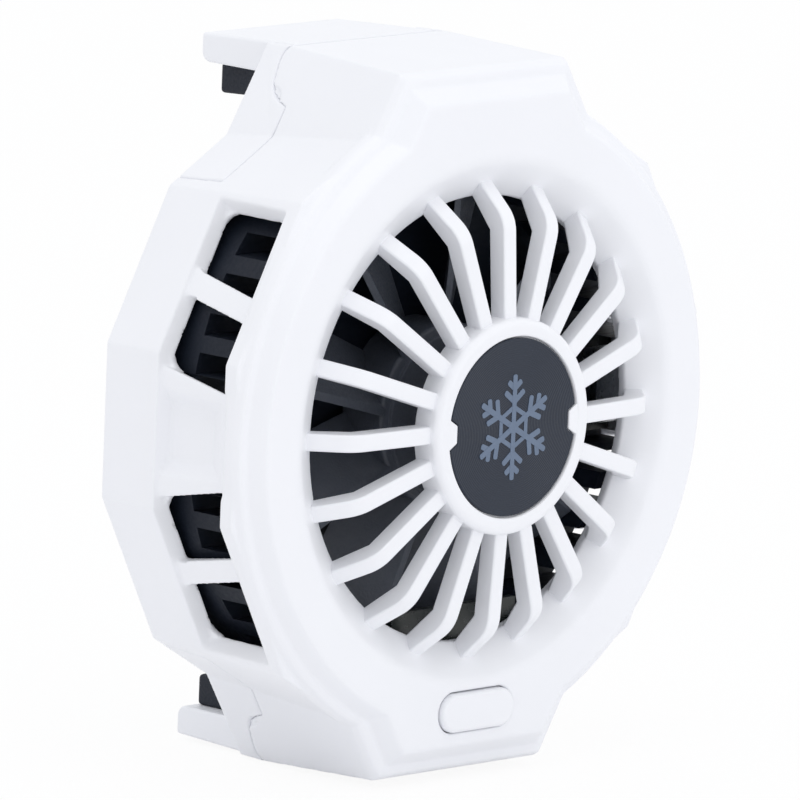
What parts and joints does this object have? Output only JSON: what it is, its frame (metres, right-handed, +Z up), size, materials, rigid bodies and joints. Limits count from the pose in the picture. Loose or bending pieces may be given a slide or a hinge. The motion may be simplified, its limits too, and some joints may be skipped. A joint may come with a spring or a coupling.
{
  "type": "phone cooling fan",
  "caption": "Clip-on phone cooler: a white flat-sided drum with a spoked grille, dark hub disc, side vents, a pill button and sprung jaws with rubber pads behind.",
  "frame": {"origin": "centre of the rear contact face, where the thermal pad meets the phone", "axes": "+Z up through the upper jaw, +Y rearwards out of the contact face, the grille faces -Y"},
  "size_m": [0.075, 0.0408, 0.082],
  "materials": {
    "white_abs": "fine satin moulded",
    "black_plastic": "satin moulded",
    "hub_label": "fine turned lines",
    "rubber": "matte",
    "thermal_silicone": "matte",
    "black_aluminium": "black anodised",
    "bare_aluminium": "milled",
    "alumina": "fired ceramic",
    "circuit_board": "solder mask",
    "steel": "plain",
    "copper_wire": "enamelled",
    "ferrite": "moulded",
    "bronze": "sintered"
  },
  "bodies": {
    "case": {"front_shell": "white_abs", "rear_shell": "white_abs", "hub_disc": "hub_label", "tact_switch": "steel", "control_board": "circuit_board", "upper_springs": "steel", "lower_springs": "steel", "slide_cover": "black_plastic", "thermal_pad": "thermal_silicone", "cold_plate": "bare_aluminium", "thermoelectric_tile": "alumina", "heat_sink": "black_aluminium", "motor_base": "black_plastic", "bearing_sleeve": "bronze", "motor_board": "circuit_board", "stator_core": "steel", "stator_windings": "copper_wire", "socket_board": "circuit_board", "charging_socket": "steel", "case_screws": "steel", "sink_screws": "steel", "cover_screws": "steel"},
    "rotor": {"impeller": "black_plastic", "rotor_yoke": "steel", "magnet_ring": "ferrite", "shaft": "steel"},
    "button": {"power_button": "white_abs"},
    "upper_clamp": {"upper_jaw": "white_abs", "upper_pad": "rubber"},
    "lower_clamp": {"lower_jaw": "white_abs", "lower_pad": "rubber"}
  },
  "joints": [
    {"name": "impeller_spin", "type": "hinge", "parent": "case", "child": "rotor", "pos_m": [0, -0.016, 0], "axis": [0, -1, 0], "continuous": true},
    {"name": "button_press", "type": "slide", "parent": "case", "child": "button", "axis": [0, 1, 0], "range_m": [0, 0.0005], "stiffness_N_per_m": 1200, "springref_m": -0.001},
    {"name": "upper_jaw_slide", "type": "slide", "parent": "case", "child": "upper_clamp", "axis": [0, 0, 1], "range_m": [0, 0.0095], "stiffness_N_per_m": 150, "springref_m": -0.012, "deforming": ["upper_springs"]},
    {"name": "lower_jaw_slide", "type": "slide", "parent": "case", "child": "lower_clamp", "axis": [0, 0, -1], "range_m": [0, 0.0095], "stiffness_N_per_m": 150, "springref_m": -0.012, "deforming": ["lower_springs"]}
  ]
}
